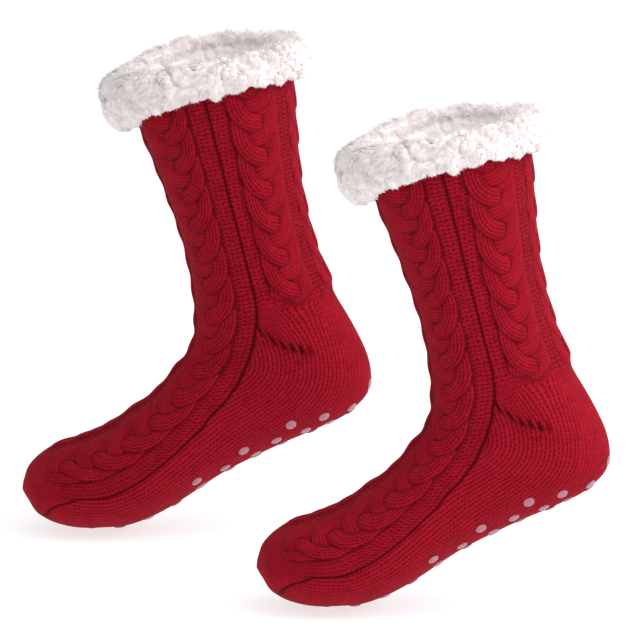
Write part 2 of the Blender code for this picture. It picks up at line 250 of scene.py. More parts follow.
STRAND_HIGH = 3.0  # how far a strand stands out from the cloth
FLOOR = 0.38  # height of the cloth between the strands, as a share of theirs
FRONT_RIB = 6.5  # degrees from the front to the edge of the rib
SOLE_SUNK = 0.8  # how much lower the heel and sole lie than the cloth beside the plaits
PLAIT_HALF = 18.0  # half the width of a plait as it is drawn
FRONT_WIDE, BACK_WIDE, MIDDLE_WIDE = 26.0, 22.0, 23.0  # degrees round the sock that PLAIT_HALF takes
FRONT_TIP, FRONT_PITCH = 46.0, 22.2  # millimetres from the top edge to the first tip, and to each next one
BACK_TIP, BACK_PITCH, BACK_TIPS = 49.0, 24.7, 6
LAST_TIP = BACK_TIP + BACK_PITCH * (BACK_TIPS - 1)

# The front plait changes on its way: millimetres down it, and the values there.
FRONT_DRIFT = ((195, 216, 300, 340), (0, 0.12, 0.0, -0.08))  # pitches by which the tips come early
FRONT_NEAR_EDGE = ((60, 113, 175, 260), (19.2, 18.6, 18.0, 16.5))
FRONT_NEAR_NARROW = ((60, 113, 175, 215, 260), (1.42, 1.08, 1.0, 1.05, 1.28))
FRONT_FAR_EDGE = ((175, 230), (19.0, 17.8))
FRONT_FAR_NARROW = ((60, 113, 175, 230), (0.99, 1.1, 1.15, 1.2))
BACK_EDGE, BACK_NEAR_NARROW, BACK_FAR_NARROW, MIDDLE_FAR_NARROW = 17.8, 1.1, 1.29, 1.2


# %% Stitches and heights over the whole sock
def blur(values, times):
    """Each value becomes the mean of its neighbours; the columns close into a ring."""
    for _ in range(times):
        values = (np.roll(values, 1, 1) + np.roll(values, -1, 1) + values) / 3
        values = np.vstack([values[:1], (values[:-2] + values[1:-1] + values[2:]) / 3, values[-1:]])
    return values


def bell(x, wide):
    return np.exp(-((x / wide) ** 2))


def mitre_row(a):
    """The row of the table at which the slanting line of the heel crosses an angle."""
    return np.interp(a, *MITRE)


def round_from_side(points, angle, a):
    """Millimetres round each section from the side line towards the back, the same on both sides."""
    steps = np.linalg.norm(np.diff(points, axis=1, append=points[:, :1]), axis=-1) * (a >= SIDE_LINE) * (angle < 180)
    round_it = np.hstack([np.zeros((len(a), 1)), np.cumsum(steps, axis=1)[:, :-1]])
    half_way = a.shape[1] // 2
    round_it[:, half_way + 1:] = round_it[:, half_way - 1:0:-1]
    return round_it, round_it[:, half_way]


def heel_courses(t, angle, a, down):
    """Millimetres of knitting down to each point behind the side line. The knitting runs down to the slanting line
    and starts again below it. Further round, it is stretched over the heel."""
    top, low = (down[np.searchsorted(t[:, 0], row)] for row in (HEEL_FROM, HEEL_TO))
    in_heel = (low - top)[np.argmin(np.abs(angle[0] - MITRE_TO))]
    stretched = top + (down - top) * in_heel / np.maximum(low - top, 1e-6)
    below = top + in_heel + down - low
    turned = np.where(t < HEEL_FROM, down, np.where(t < HEEL_TO, stretched, below))
    return np.where(a < MITRE_TO, np.where(t < mitre_row(a), down, below), turned)


def lay_plait(knit, x, y, fade, near_edge, near_narrow, far_edge, far_narrow):
    """Lays a plait on the knit. x is across it from its middle and y down it, in millimetres."""
    where = np.abs(x) < 20.5
    near_x = 18.8 - (near_edge - x) * near_narrow
    far_x = (x + far_edge) * far_narrow - 20.0
    h, n, s, even = plait(y[where], near_x[where], far_x[where])
    f = fade[where]
    between = FLOOR * STRAND_HIGH * (1 - rise(9, 14, np.abs(x[where]))) * f
    knit["high"][where] = np.maximum(knit["high"][where], np.maximum(STRAND_HIGH * h * f, between))
    for name, values in (("across", n), ("along", s), ("plain", 1.0), ("faint", even)):
        knit[name][where] = np.where(h * f > 0.12, values, knit[name][where])


def knit_surface(t, angle):
    """The points of the smooth cloth, and at each of them: the height of the knitting in millimetres, the stitch
    across and along, the share of plain stitches, the painted shade in the hollows, how faint the stitches are, and
    where the small holes of the heel may be."""
    points = cloth_point(t, angle)
    a = from_front(angle)
    down = run_along(points)
    front, back = np.interp(t, ALL_ROWS, FRONT_RUN), np.interp(t, ALL_ROWS, BACK_RUN)
    near_toe = 1 - rise(FRONT_RUN[-1] - 44, FRONT_RUN[-1] - 24, front)
    from_side, round_half = round_from_side(points, angle, a)

    # Sole, heel and toe are plain stitches. Down the leg the back starts plain under the last tip.
    heel_plain = rise(LAST_TIP - 2, LAST_TIP + 6, back) * (a > SIDE_LINE)
    toe_plain = 1 - near_toe
    faint_from = np.interp(t, (21, 27), (128, 104))
    knit = {
        "high": np.zeros_like(t),
        "along": np.where(a < SIDE_LINE, down, heel_courses(t, angle, a, down)) / COURSE,
        "plain": np.maximum(heel_plain, toe_plain),
        "faint": np.maximum(1.2 * rise(0, 30, a - faint_from) * heel_plain, 1.6 * toe_plain),
    }

    # Above the slanting line the columns of stitches run slantwise, towards the back.
    over = FAN * (np.interp(t, t[:, 0], round_half) - np.interp(mitre_row(a), t[:, 0], round_half))
    over -= SLANT * (back - np.interp(mitre_row(a), ALL_ROWS, BACK_RUN))
    over *= (1 - rise(100, 140, a)) * (t < mitre_row(a)) * (a > SIDE_LINE) * heel_plain
    knit["across"] = np.where(a < SIDE_LINE, a / WALE, (from_side - FAN * round_half[:, None]) / RIB) + over / RIB

    # Front rib, which swells between the tips beside it.
    rib = np.clip(1 - (a / FRONT_RIB) ** 4, 0, 1)
    knit["high"] += near_toe * rib * (1.5 + 0.5 * np.cos(math.tau * (front - FRONT_TIP) / FRONT_PITCH))
    knit["plain"] = np.maximum(knit["plain"], (a < FRONT_RIB) * 1.0)

    # The plaits: one at the front and one at the back of each side, and one down the middle of the back.
    tables = FRONT_NEAR_EDGE, FRONT_NEAR_NARROW, FRONT_FAR_EDGE, FRONT_FAR_NARROW
    x_front = (a - FRONT_LINE) / FRONT_WIDE * PLAIT_HALF
    y_front = front - FRONT_TIP + FRONT_PITCH * np.interp(front, *FRONT_DRIFT)
    lay_plait(knit, x_front, y_front, near_toe, *(np.interp(front, *table) for table in tables))
    x_back = (BACK_LINE - a) / BACK_WIDE * PLAIT_HALF
    y_back = (back - BACK_TIP) * FRONT_PITCH / BACK_PITCH
    ends = 1 - rise(LAST_TIP - 1.5, LAST_TIP + 4.5, back + 0.42 * np.abs(x_back))
    lay_plait(knit, x_back, y_back, ends, BACK_EDGE, BACK_NEAR_NARROW, BACK_EDGE, BACK_FAR_NARROW)
    x_middle = ((angle % 360) - 180.0) / MIDDLE_WIDE * PLAIT_HALF
    ends = 1 - rise(LAST_TIP - 4.0, LAST_TIP + 4.0, back)
    lay_plait(knit, x_middle, y_back, ends, BACK_EDGE, BACK_NEAR_NARROW, BACK_EDGE, MIDDLE_FAR_NARROW)

    # The plain cloth of heel and sole lies lower than the plaits.
    high = knit["high"]
    high -= SOLE_SUNK * heel_plain * rise(SIDE_LINE, 110, a)

    # The ridge down each side, with a sharp hollow along it.
    from_line = (a - SIDE_LINE) * 0.8
    ridge = 1 - rise(SIDE_END - 0.5, SIDE_END, t)
    high += ridge * (0.4 * bell(from_line + 1.4, 0.9) + 0.2 * bell(from_line - 1.4, 0.9))
    high -= ridge * 0.8 * bell(from_line, 0.5)

    # A seam across the toe, under which the ridge ends.
    seam = bell(t - np.interp(a, *TOE_SEAM), 0.16) * (a > TOE_SEAM[0][0]) * (1 - rise(150, 170, a))
    high -= 0.9 * seam

    # Small holes along the slanting line of the heel, with a low ridge under them.
    to_mitre = t - mitre_row(a)
    near_mitre = (a > SIDE_LINE + 1) * (1 - rise(MITRE_TO - 8, MITRE_TO + 2, a))
    knit["holes"] = near_mitre * np.exp(-(((to_mitre + 0.1) / 0.34) ** 4))
    high += 0.5 * near_mitre * bell(to_mitre - 0.45, 0.2)

    beside_rib = near_toe * bell(a - 10.5, 3.0) + (1 - heel_plain) * bell(a - 150, 4.0)
    # Painted shade in the colour: darker in the hollows round the strands, in the groove of the toe seam, along the
    # hollow of the side ridge, beside the front rib, between the back plaits and along the heel's slanting line.
    painted_shade = np.clip((blur(high, 3) - high) / 0.75, 0, 1) ** 1.1 + 0.3 * beside_rib
    painted_shade += 0.2 * near_mitre * bell(to_mitre, 0.7) + 0.75 * seam + 0.42 * ridge * bell(from_line, 0.6)
    knit["painted_shade"] = np.clip(painted_shade, 0, 1)
    return points, knit


# %% Helpers for meshes
def tell(piece):
    print(piece.name, "triangles", sum(len(p.vertices) - 2 for p in piece.data.polygons))


def make_mesh(name, points, faces):
    mesh = bpy.data.meshes.new(name)
    mesh.from_pydata((points * MM).tolist(), [], [tuple(face) for face in faces])
    mesh.update()
    mesh.shade_smooth()
    piece = bpy.data.objects.new(name, mesh)
    bpy.context.scene.collection.objects.link(piece)
    return piece


def grid_faces(rows, columns):
    """Quads of a grid whose columns close into a ring, facing outwards."""
    r, c = np.meshgrid(np.arange(rows - 1), np.arange(columns), indexing="ij")
    n = (c + 1) % columns
    quads = np.stack([r * columns + c, (r + 1) * columns + c, (r + 1) * columns + n, r * columns + n], -1)
    return quads.reshape(-1, 4).tolist()


def closed_bag(name, rows, first_tip, last_tip):
    """A mesh through rings of points, closed to a tip at both ends: one face of the cloth from its tip up, and the
    other back down."""
    count, columns = rows.shape[:2]
    points = np.vstack([rows.reshape(-1, 3), first_tip[None], last_tip[None]])
    last = (count - 1) * columns
    tips = [((k + 1) % columns, count * columns, k) for k in range(columns)]
    tips += [(last + k, count * columns + 1, last + (k + 1) % columns) for k in range(columns)]
    return make_mesh(name, points, grid_faces(count, columns) + tips)


def keep_values(piece, **attributes):
    """Puts values in attributes of the points."""
    for name, values in attributes.items():
        layer = piece.data.attributes.new(name, "FLOAT", "POINT")
        layer.data.foreach_set("value", values.astype(np.float32))


def keep_stitches(piece, across, along):
    """Puts the stitch places in a UV map."""
    mesh = piece.data
    uv = mesh.uv_layers.new(name="stitches")
    corners = np.empty(len(mesh.loops), np.int32)
    mesh.loops.foreach_get("vertex_index", corners)
    pairs = np.stack([across, along], -1)[corners]
    uv.data.foreach_set("uv", pairs.astype(np.float32).ravel())


# %% Make the knitted cloth of each sock
COLUMNS = np.concatenate([np.linspace(0, SIDE_LINE, 59)[:-1], np.linspace(SIDE_LINE, 180, 63)])
COLUMNS = np.concatenate([COLUMNS, 360 - COLUMNS[-2:0:-1]])
KNIT_ROWS = 376
KNIT_WALL, FLEECE, SEAM_GAP = 3.0, 6.0, 0.4
# The inside is smooth, so it needs a ring at these rows of the table only.
INNER_ROWS = np.array((
    0, 2.5, 5, 7.2, 9, 10.5, 11.7, 12.7, 13.7, 14.7, 15.8, 17, 18.5, 20.5, 23, 25.5, 28, 30, 31.5, 32.6,
))
TOE_CAPS = ((0.82, 0.25), (0.6, 0.4), (0.35, 0.5), (0.12, 0.5))  # share of the last ring, and how far it bulges
TOE_BULGE = 0.5


def even_rows(count):
    """Rows of the table so chosen that the grid's cells come out nearly even."""
    run = 0.55 * FRONT_RUN + 0.45 * BACK_RUN
    return np.interp(np.linspace(0, run[-1], count), run, ALL_ROWS)


def inner_rings(angles, depth):
    """Rings at INNER_ROWS, so deep under the smooth outside of the knit, from the top edge to the toe."""
    t, angle = np.meshgrid(INNER_ROWS, angles, indexing="ij")
    here, out, _ = cloth_frame(t, angle)
    return here - out * depth


def along_x(x):
    return np.array((x, 0.0, 0.0))


def knit_cloth(name, at):
    t, angle = np.meshgrid(even_rows(KNIT_ROWS), COLUMNS, indexing="ij")
    points, knit = knit_surface(t, angle)
    surface = points + cloth_frame(t, angle)[1] * knit["high"][..., None]
    inner = inner_rings(COLUMNS, KNIT_WALL)[::-1]
    caps = [TOE_TIP + (surface[-1] - TOE_TIP) * share - along_x(bulge) for share, bulge in TOE_CAPS]
    rows = np.concatenate([inner, surface, np.array(caps)]) + at
    piece = closed_bag(name, rows, TOE_TIP + at + along_x(KNIT_WALL), TOE_TIP + at - along_x(TOE_BULGE))

    def extend(values):
        """Carries the values of the outer surface on over the inner rings, the caps and the two tips."""
        inside, cap = np.tile(values[0], len(inner)), np.tile(values[-1], len(caps))
        return np.concatenate([inside, values.ravel(), cap, values[0][:1], values[-1][:1]])

    keep_stitches(piece, extend(knit["across"]), extend(knit["along"]))
    keep_values(piece, **{name: extend(knit[name]) for name in ("plain", "painted_shade", "faint", "holes")})
    return piece


knits = {}
for side, at in SOCKS:
    piece = knit_cloth(side + "_knit_cloth", at)
    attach(piece, "root")
    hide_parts(side + "_knit_sock")
    knits[side] = piece
    tell(piece)

# %% [markdown]
# ## The fleece lining and its cuff
# The lining is one bag of fleece: it lies inside the knit from the toe up, comes over the top edge and hangs down
# outside as the cuff. Its pile bunches into soft lumps of no set shape, with creases between, and the lower edge
# hangs in small tufts. The lumps are the places between the zero lines of a few waves added up in seeded directions.

# %% Profile of the lining where it turns over the top edge
INSIDE = KNIT_WALL + SEAM_GAP + FLEECE
IN_MOUTH = ((-26, 4.5), (-12, 3.2), (-3, 1.0))  # up from the edge, and how much thicker the pile stands there
CREST = ((4.0, -9.2), (8.0, -5.5), (9.5, 2.0), (7.5, 9.0), (2.0, 14.0))  # up, out
HANG = ((0.25, 0.97), (0.6, 1.0), (0.9, 0.82), (1.0, 0.5))  # share of the way down, share of the fullness
FULL = (20.0, 15.0, 13.5)  # how far the cuff stands out at the front, sides and back
CREST_HIGH = (0.65, 0.45, 0.28)  # height of the crest there, as a share of CREST
CREST_TILT = 0.17
CREST_HUMPS = ((257, 10, 0.25), (240, 25, 0.2), (304, 20, 0.3), (284, 14, 0.5), (78, 45, 0.35))  # at, wide, high
TUFTS = ((26, 2.8, 5.5), (60, 0.4, 1.5))  # how many, and how far down they hang
UNDER_CUFF = 3.6  # from the smooth outside of the knit to the cuff's inner face
CUFF_COLUMNS, CUFF_ROWS = 400, 112
PROFILE_POINTS = 260
CUFF_SEED = 11


def round_value(angle, front, side, back):
    c = np.cos(np.radians(angle))
    return side + (front - side) * np.maximum(c, 0) ** 2 + (back - side) * np.maximum(-c, 0) ** 2


def rows_down(angle, down):
    """The row of the table that lies so many millimetres below the top edge, at each angle."""
    out = np.empty_like(down)
    for k in range(angle.shape[1]):
        out[:, k] = np.interp(down[:, k], length_down(angle[0, k])[:60], ALL_ROWS[:60])
    return out


def tufts(angle):
    """How far the tufts of the lower edge hang down round the cuff: big ones, and small ones on them."""
    random = np.random.default_rng(CUFF_SEED)
    hang = np.zeros_like(angle)
    for count, least, most in TUFTS:
        wide = random.uniform(0.7, 1.3, count)
        ends = np.concatenate([[0], np.cumsum(wide)]) * 360 / wide.sum()
        k = np.clip(np.searchsorted(ends, angle, side="right") - 1, 0, count - 1)
        u = (angle - ends[k]) / (ends[k + 1] - ends[k])
        hang = hang + random.uniform(least, most, count)[k] * np.clip(1 - (2 * u - 1) ** 2, 0, 1) ** 0.6
    return hang


def hem(angle):
    """How far down the cuff reaches: furthest at the front, and a little further at the back than at the sides."""
    c = np.cos(np.radians(angle))
    return 10.5 + np.where(c > 0, 17.5 * np.abs(c) ** 3, 8.0 * c**4)


def cuff_profile(angle):
    """Up and out of the profile's turning points at each angle, from inside the mouth to the lower edge."""
    crest = round_value(angle, *CREST_HIGH) + CREST_TILT * np.sin(np.radians(angle))
    for middle, wide, extra in CREST_HUMPS:
        crest = crest + extra * bell(angle - middle, wide)
    full = round_value(angle, *FULL)
    down = hem(angle) + tufts(angle)
    same = np.ones_like(angle)
    ups = [up * same for up, _ in IN_MOUTH]
    outs = [(-INSIDE - out) * same for _, out in IN_MOUTH]
    for up, out in CREST:
        ups.append(up * crest)
        outs.append(out * (full / 17.0 if out > 0 else same))
    for share, fullness in HANG:
        ups.append(-share * down)
        outs.append(full * fullness)
    return np.array(ups), np.array(outs)


def waves(points, size, seed):
    """A smooth random value for each point, with zero lines about size mm apart."""
    random = np.random.default_rng(seed)
    ways = unit(random.normal(size=(24, 3))) * (math.pi / size) * random.uniform(0.6, 1.3, (24, 1))
    turns = random.uniform(0, math.tau, 24)
    return sum(np.cos(points @ way + turn) for way, turn in zip(ways, turns)) / math.sqrt(12)


def lumps(points, size, seed):
    """1 in the middle of a lump and 0 in the creases round it; and the places where creases cross, which get painted
    shade as small pits.
    """
    one, other = waves(points, size, seed), waves(points, size * 1.15, seed + 50)
    return np.tanh(1.35 * np.abs(one * other) ** 0.75), np.exp(-((one / 0.28) ** 2) - (other / 0.28) ** 2)


def way_off(points):
    """The way out of a grid of points whose columns close into a ring."""
    return unit(np.cross(np.gradient(points, axis=0), np.roll(points, -1, 1) - np.roll(points, 1, 1)))


def cuff_surface():
    """The pile's surface with its lumps, the way out of it, and the painted shade of the creases at each point."""
    angle = np.linspace(0, 360, CUFF_COLUMNS, endpoint=False)[None, :] * np.ones((CUFF_ROWS, 1))
    ups, outs = cuff_profile(angle[0])
    fine = np.linspace(0, len(ups) - 1, PROFILE_POINTS)
    length = run_along(dense(np.stack([ups.mean(1), outs.mean(1)], -1), PROFILE_POINTS))
    s = np.linspace(0, length[-1], CUFF_ROWS)
    place = np.interp(s, length, fine)
    profiles = [dense(np.stack([ups[:, k], outs[:, k]], -1), PROFILE_POINTS) for k in range(CUFF_COLUMNS)]
    line = np.stack(profiles, 1)
    i = np.clip(np.searchsorted(fine, place), 1, PROFILE_POINTS - 1)
    f = ((place - fine[i - 1]) / (fine[i] - fine[i - 1]))[:, None, None]
    up, out = np.moveaxis(line[i - 1] * (1 - f) + line[i] * f, -1, 0)

    t = np.where(up < 0, rows_down(angle, np.maximum(-up, 0)), 0.0)
    here, way_out, way_up = cloth_frame(t, angle)
    base = here + way_out * out[..., None] + way_up * np.maximum(up, 0)[..., None]

    # The lumps are lower inside the mouth, at the very front and along the lower edge.
    s = s[:, None] * np.ones((1, CUFF_COLUMNS))
    outside = rise(22, 36, s) * (1 - rise(length[-1] - 7, length[-1] - 1, s))
    calm = (0.35 + 0.65 * rise(28, 62, from_front(angle))) * (0.45 + 0.55 * outside)
    sizes = enumerate((11.0, 5.5, 2.8), start=1)
    (big, pit_shade), (mid, small_pit_shade), (small, _) = (lumps(base, size, CUFF_SEED + k) for k, size in sizes)
    bump = calm * (2.4 * (big - 0.5) + 1.9 * (mid - 0.5)) + 0.5 * (small - 0.5)
    surface = base + way_off(base) * bump[..., None]
    # Painted shade in the creases and where they cross, lighter where the lumps are calm.
    pit_shade = calm * (pit_shade + 0.3 * small_pit_shade + 0.3 * np.clip(blur(bump, 3) - bump, 0, 1))
    return surface, way_off(surface), np.clip(pit_shade, 0, 1) * rise(20, 34, s)


# %% Make the lining of each sock
PILE, PILE_OUT, PILE_CREASE_SHADE = cuff_surface()


def lining_cloth(name, at):
    """From the toe up the inside, over the edge and down as the pile, back up under the cuff, and down to the toe."""
    angle = np.linspace(0, 360, CUFF_COLUMNS, endpoint=False)
    under = []
    for share in (0.94, 0.6, 0.25):
        here, way_out, _ = cloth_frame(rows_down(angle[None], share * hem(angle)[None]), angle[None])
        under.append((here + way_out * UNDER_CUFF)[0])
    here, way_out, way_up = cloth_frame(np.zeros((1, CUFF_COLUMNS)), angle[None])
    under += [(here + way_up * 1.0 + way_out * out)[0] for out in (UNDER_CUFF, -KNIT_WALL)]
    inside = inner_rings(angle, INSIDE)[:0:-1]
    outside_face = inner_rings(angle, KNIT_WALL + SEAM_GAP)
    rows = np.concatenate([inside, PILE, np.array(under), outside_face]) + at
    piece = closed_bag(name, rows, *(TOE_TIP + at + along_x(x) for x in (INSIDE, KNIT_WALL + SEAM_GAP)))
    # The pile's painted crease shade goes in the attribute gap; the rest of the lining gets none.
    crease_shades = np.zeros(rows.shape[:2])
    crease_shades[len(inside):len(inside) + CUFF_ROWS] = PILE_CREASE_SHADE
    keep_values(piece, gap=np.concatenate([crease_shades.ravel(), [0, 0]]))
    return piece


linings = {}
for side, at in SOCKS:
    piece = lining_cloth(side + "_fleece_lining", at)
    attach(piece, "root")
    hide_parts(side + "_fleece_lining_and_cuff")
    linings[side] = piece
    tell(piece)

# %% [markdown]
# ### Loose threads of the pile
# The pile is made of fine soft threads. Those that show on the outside are flat slips as thin as a thread, lying on
# the lumps and combed the way the fleece is brushed. Along the lower edge they all hang down.

# %% Threads
THREADS, EDGE_THREADS = 19000, 1600
PILE_FROM, EDGE_ROWS = 34, 9  # row of the pile where the threads start, and how many rows the lower edge has
THREAD_LONG, THREAD_WIDE = (3.5, 7.0), 0.5


def pile_threads(name, at):
    random = np.random.default_rng(CUFF_SEED + 7)
    row = random.uniform(PILE_FROM, CUFF_ROWS - 1.01, THREADS)
    row[:EDGE_THREADS] = random.uniform(CUFF_ROWS - EDGE_ROWS, CUFF_ROWS - 1.01, EDGE_THREADS)
    column = random.uniform(0, CUFF_COLUMNS, THREADS)
    r, c = row.astype(int), column.astype(int)
    fr, fc = (row - r)[:, None], (column - c)[:, None]
    n = (c + 1) % CUFF_COLUMNS

    def between(grid):
        top = grid[r, c] * (1 - fc) + grid[r, n] * fc
        return top * (1 - fr) + (grid[r + 1, c] * (1 - fc) + grid[r + 1, n] * fc) * fr

    root, out = between(PILE), unit(between(PILE_OUT))
    down = unit(PILE[r + 1, c] - PILE[r, c])
    down = unit(down - out * (down * out).sum(1, keepdims=True))
    side = np.cross(out, down)
    hanging = rise(CUFF_ROWS - 24, CUFF_ROWS - 4, row)
    comb = (1.3 * waves(root, 13.0, CUFF_SEED + 20) + random.normal(0, 0.35, THREADS)) * (1 - 0.75 * hanging)
    way = down * np.cos(comb)[:, None] + side * np.sin(comb)[:, None]
    long = random.uniform(*THREAD_LONG, THREADS)[:, None] * (1 - 0.6 * hanging[:, None])
    lift = random.uniform(0.02, 0.3, THREADS)[:, None]
    curl = random.normal(0, 0.14, THREADS)[:, None]
    broad = np.cross(out, way) * THREAD_WIDE / 2
    start = root - out * 0.3
    middle = start + way * long * 0.5 + out * (0.35 + long * lift * 0.6)
    end = start + way * long + out * (0.3 + long * lift) + np.cross(out, way) * long * curl
    points = np.stack([start + broad, start - broad, middle - broad, middle + broad, end], 1).reshape(-1, 3) + at
    first = 5 * np.arange(THREADS)[:, None]
    return make_mesh(name, points, (first + (0, 1, 2, 3)).tolist() + (first + (3, 2, 4)).tolist())


threads = {}
for side, at in SOCKS:
    threads[side] = pile_threads(side + "_pile_threads", at)
    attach(threads[side], "root")
    tell(threads[side])

# %% [markdown]
# ## The rubber dots
# Soft rubber dots are printed on the sole and heel, in rows that step by half a space. One dot is a flattened dome
# with a flat underside. It is then copied to each place on the cloth, lying flat on it.

# %% One dot, and the places of all of them
DOT_WIDE, DOT_HIGH, DOT_SUNK = 8.0, 1.0, 0.7
DOT_SIDES = 18
# Half width and height of each ring of a dome of half width 1, from the top down to the underside.
DOT_RINGS = [(math.sin(turn), math.cos(turn)) for turn in np.radians((18, 36, 54, 72, 90))] + [(0.976242, -0.15)]
# Angle from the front, and rows of the table, on the near half of the sole. The far half has the same.
DOT_LINES = (
    (134.5, (17.6, 20.5, 23.1)),
    (146.0, (16.1, 19.1, 21.8)),
    (153.5, (17.7, 20.4, 23.2, 25.9)),
    (162.5, (15.0, 16.6, 19.2, 21.8, 24.6, 27.3)),
    (172.0, (13.4, 15.4, 17.8, 20.6, 23.3, 26.0, 28.6)),
)


def dome():
    """The points and faces of one dot: its rings, a point on top and one flat face under it."""
    turns = (np.arange(DOT_SIDES) + 0.5) * math.tau / DOT_SIDES
    rings = [np.stack([r * np.cos(turns), r * np.sin(turns), np.full(DOT_SIDES, z)], -1) for r, z in DOT_RINGS]
    top = DOT_SIDES * len(DOT_RINGS)
    faces = grid_faces(len(DOT_RINGS), DOT_SIDES) + [(top, k, (k + 1) % DOT_SIDES) for k in range(DOT_SIDES)]
    return np.vstack([*rings, (0, 0, 1)]), faces + [range(top - 1, top - 1 - DOT_SIDES, -1)]


DOT_POINTS, DOT_FACES = dome()


def rubber_dots(name, at):
    points, faces = [], []
    flat = DOT_POINTS * (DOT_WIDE / 2, DOT_WIDE / 2, DOT_HIGH)
    for angle, row in [(angle, row) for line, rows in DOT_LINES for row in rows for angle in (line, 360 - line)]:
        here, out, up = (v[0] for v in cloth_frame(np.array([row]), np.array([angle])))
        across = np.cross(up, out)
        base = len(points) * len(DOT_POINTS)
        points.append(here - out * DOT_SUNK + at + flat[:, :1] * across + flat[:, 1:2] * up + flat[:, 2:] * out)
        faces += [tuple(base + k for k in face) for face in DOT_FACES]
    return make_mesh(name, np.vstack(points), faces)


dots = {}
for side, at in SOCKS:
    dots[side] = rubber_dots(side + "_rubber_dots", at)
    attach(dots[side], "root")
print("dots on each sock:", 2 * sum(len(rows) for _, rows in DOT_LINES))

# %% [markdown]
# ## Materials
# The red yarn is matt wool-like acrylic with short fuzz. Its stitches are worked out from the UV map: a plain stitch
# is a pair of slanting legs, a purl stitch a wavy bar, and both get painted shade in the gaps between them.

# %% Helpers for materials
def new_material(name):
    material = bpy.data.materials.new(name)
    material.use_nodes = True
    nodes = material.node_tree.nodes
    nodes.clear()
    output = nodes.new("ShaderNodeOutputMaterial")
    shader = nodes.new("ShaderNodeBsdfPrincipled")
    material.node_tree.links.new(shader.outputs["BSDF"], output.inputs["Surface"])
    return material, shader


def node(material, kind, **settings):
    made = material.node_tree.nodes.new(kind)
    for key, value in settings.items():
        if key in made.inputs.keys():
            made.inputs[key].default_value = value
        else:
            setattr(made, key, value)
    return made


def math_node(material, operation, *values):
    """A Math node; each value is a number or the output of another node."""
    made = material.node_tree.nodes.new("ShaderNodeMath")
    made.operation = operation
    for socket, value in zip(made.inputs, values):
        if isinstance(value, (int, float)):
            socket.default_value = value
        else:
            material.node_tree.links.new(value, socket)
    return made.outputs[0]


def half_wave(material, value, power=1.0):
    """A wave from 0 to 1 that has its crests where the value is whole."""
    m = functools.partial(math_node, material)
    wave = m("ADD", m("MULTIPLY", m("COSINE", m("MULTIPLY", value, math.tau)), 0.5), 0.5)
    return wave if power == 1.0 else m("POWER", wave, power)


def attribute(material, name):
    return node(material, "ShaderNodeAttribute", attribute_name=name).outputs["Fac"]


def noise(material, place, **settings):
    made = node(material, "ShaderNodeTexNoise", **settings)
    material.node_tree.links.new(place, made.inputs["Vector"])
    return made.outputs[0]


def mix(material, share, low, high):
    """low where the share is 0 and high where it is 1; high is a number or the output of another node."""
    made = node(material, "ShaderNodeMix")
    link = material.node_tree.links.new
    link(share, made.inputs["Factor"])
    link(low, made.inputs[2])
    if isinstance(high, float):
        made.inputs[3].default_value = high
    else:
        link(high, made.inputs[3])
    return made.outputs[0]


def set_bump(material, shader, height, strength, distance):
    bump = node(material, "ShaderNodeBump", Strength=strength, Distance=distance)
    material.node_tree.links.new(height, bump.inputs["Height"])
    material.node_tree.links.new(bump.outputs[0], shader.inputs["Normal"])


def set_colour(material, shader, value, *stops):
    """The base colour runs through the stops, each a place from 0 to 1 and a colour, as the value rises."""
    ramp = node(material, "ShaderNodeValToRGB")
    elements = ramp.color_ramp.elements
    for element, (place, colour) in zip((elements[0], elements[1]), (stops[0], stops[-1])):
        element.position, element.color = place, (*colour, 1)
    for place, colour in stops[1:-1]:
        elements.new(place).color = (*colour, 1)
    material.node_tree.links.new(value, ramp.inputs[0])
    material.node_tree.links.new(ramp.outputs[0], shader.inputs["Base Color"])


def set_inputs(shader, values):
    for name, value in values.items():
        shader.inputs[name].default_value = value


# %% The red yarn
# The yarn's red, from its deepest painted shade to its fully lit colour.
YARN_AND_SHADE_COLOURS = ((0.0, (0.05, 0.0002, 0.0008)), (0.5, (0.19, 0.0021, 0.0083)), (1.0, (0.36, 0.0067, 0.0197)))


